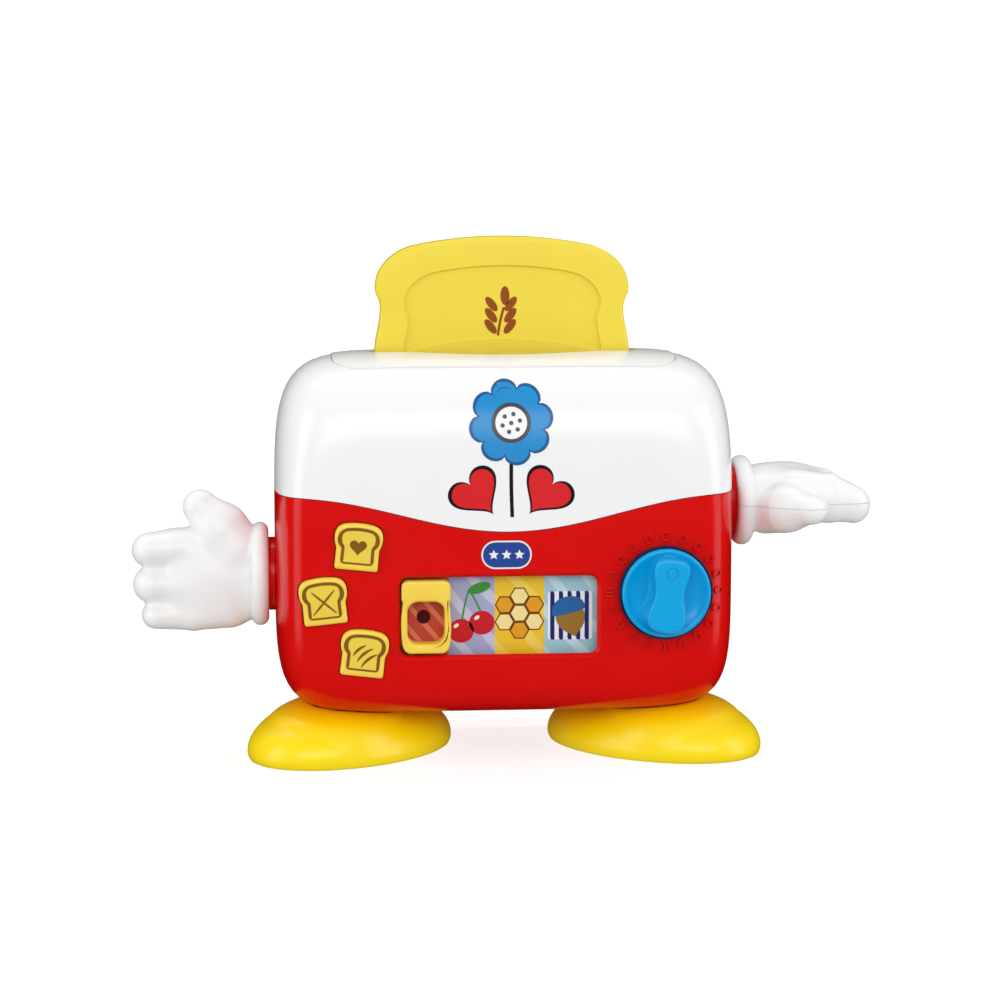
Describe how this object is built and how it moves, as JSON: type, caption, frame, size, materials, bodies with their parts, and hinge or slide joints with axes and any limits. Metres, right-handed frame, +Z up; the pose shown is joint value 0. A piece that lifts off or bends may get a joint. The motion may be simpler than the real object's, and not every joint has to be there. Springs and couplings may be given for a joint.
{
  "type": "toy toaster",
  "caption": "Toy toaster on two shoes with turning hands, a spring-up slice of toast, a clicking dial, push buttons and a picture selector.",
  "frame": {"origin": "on the floor under the middle of the toy's width and depth", "axes": "+X to the viewer's right, +Y to the back, +Z up"},
  "size_m": [0.332, 0.1076, 0.2305],
  "materials": {
    "red_casing": "glossy moulded",
    "white_casing": "glossy moulded",
    "white_glove": "glossy moulded",
    "toast_yellow": "satin moulded",
    "control_yellow": "glossy moulded",
    "shoe_yellow": "glossy moulded",
    "knob_blue": "glossy moulded",
    "navy": "glossy moulded",
    "inner_plastic": "as moulded",
    "picture_card": "printed",
    "circuit_board": "solder mask",
    "rubber": "matt",
    "steel": "plated",
    "brass": "bare",
    "battery": "printed sleeve"
  },
  "bodies": {
    "casing": {"front_lower_shell": "red_casing", "rear_lower_shell": "red_casing", "front_upper_shell": "white_casing", "rear_upper_shell": "white_casing", "top_slot_panel": "white_casing", "toast_chute": "white_casing", "left_foot": "shoe_yellow", "right_foot": "shoe_yellow", "left_sole": "shoe_yellow", "right_sole": "shoe_yellow", "battery_box": "inner_plastic", "switch_housing": "inner_plastic", "selector_card": "picture_card", "front_board": "circuit_board", "main_board": "circuit_board", "button_pad": "rubber", "speaker_cone": "rubber", "toast_spring": "steel", "click_spring": "steel", "left_foot_screw": "steel", "right_foot_screw": "steel", "battery_contact_top": "steel", "battery_contact_bottom": "steel", "speaker_frame": "steel", "case_screw_upper_left": "steel", "case_screw_upper_right": "steel", "case_screw_lower_left": "steel", "case_screw_lower_right": "steel", "battery_1": "battery", "battery_2": "battery", "battery_3": "battery"},
    "toast": {"toast_front": "toast_yellow", "toast_back": "toast_yellow", "toast_carriage": "inner_plastic"},
    "knob": {"knob_cap": "knob_blue", "dial_base": "navy", "click_wheel": "inner_plastic", "knob_screw": "steel"},
    "button_upper": {"bread_button_upper": "control_yellow"},
    "button_middle": {"bread_button_middle": "control_yellow"},
    "button_lower": {"bread_button_lower": "control_yellow"},
    "selector": {"selector_slider": "control_yellow", "selector_wiper": "brass"},
    "left_hand": {"left_glove_palm": "white_glove", "left_glove_back": "white_glove", "left_wrist_hub": "red_casing", "left_hub_washer": "inner_plastic", "left_hub_screw": "steel"},
    "right_hand": {"right_glove_palm": "white_glove", "right_glove_back": "white_glove", "right_wrist_hub": "red_casing", "right_hub_washer": "inner_plastic", "right_hub_screw": "steel"},
    "power_switch": {"power_slider": "navy"},
    "battery_cover": {"battery_door": "red_casing", "door_screw": "steel"}
  },
  "joints": [
    {"name": "toast_press", "type": "slide", "parent": "casing", "child": "toast", "axis": [0, 0, 1], "range_m": [-0.046, 0], "stiffness_N_per_m": 60, "springref_m": 0.03, "deforming": ["toast_spring"]},
    {"name": "knob_turn", "type": "hinge", "parent": "casing", "child": "knob", "pos_m": [0.0681, -0.04115, 0.0768], "axis": [0, -1, 0], "continuous": true},
    {"name": "button_upper_press", "type": "slide", "parent": "casing", "child": "button_upper", "axis": [0, 1, 0], "range_m": [0, 0.0022], "stiffness_N_per_m": 400, "springref_m": -0.0015},
    {"name": "button_middle_press", "type": "slide", "parent": "casing", "child": "button_middle", "axis": [0, 1, 0], "range_m": [0, 0.0022], "stiffness_N_per_m": 400, "springref_m": -0.0015},
    {"name": "button_lower_press", "type": "slide", "parent": "casing", "child": "button_lower", "axis": [0, 1, 0], "range_m": [0, 0.0022], "stiffness_N_per_m": 400, "springref_m": -0.0015},
    {"name": "selector_slide", "type": "slide", "parent": "casing", "child": "selector", "axis": [1, 0, 0], "range_m": [0, 0.064]},
    {"name": "left_hand_turn", "type": "hinge", "parent": "casing", "child": "left_hand", "pos_m": [-0.1023, 0.00685, 0.08], "axis": [1, 0, 0], "continuous": true},
    {"name": "right_hand_turn", "type": "hinge", "parent": "casing", "child": "right_hand", "pos_m": [0.1023, 0.00685, 0.111], "axis": [1, 0, 0], "continuous": true},
    {"name": "power_slide", "type": "slide", "parent": "casing", "child": "power_switch", "axis": [1, 0, 0], "range_m": [0, 0.004]},
    {"name": "battery_cover_off", "type": "slide", "parent": "casing", "child": "battery_cover", "axis": [0, 1, 0], "range_m": [0, 0.014]}
  ]
}
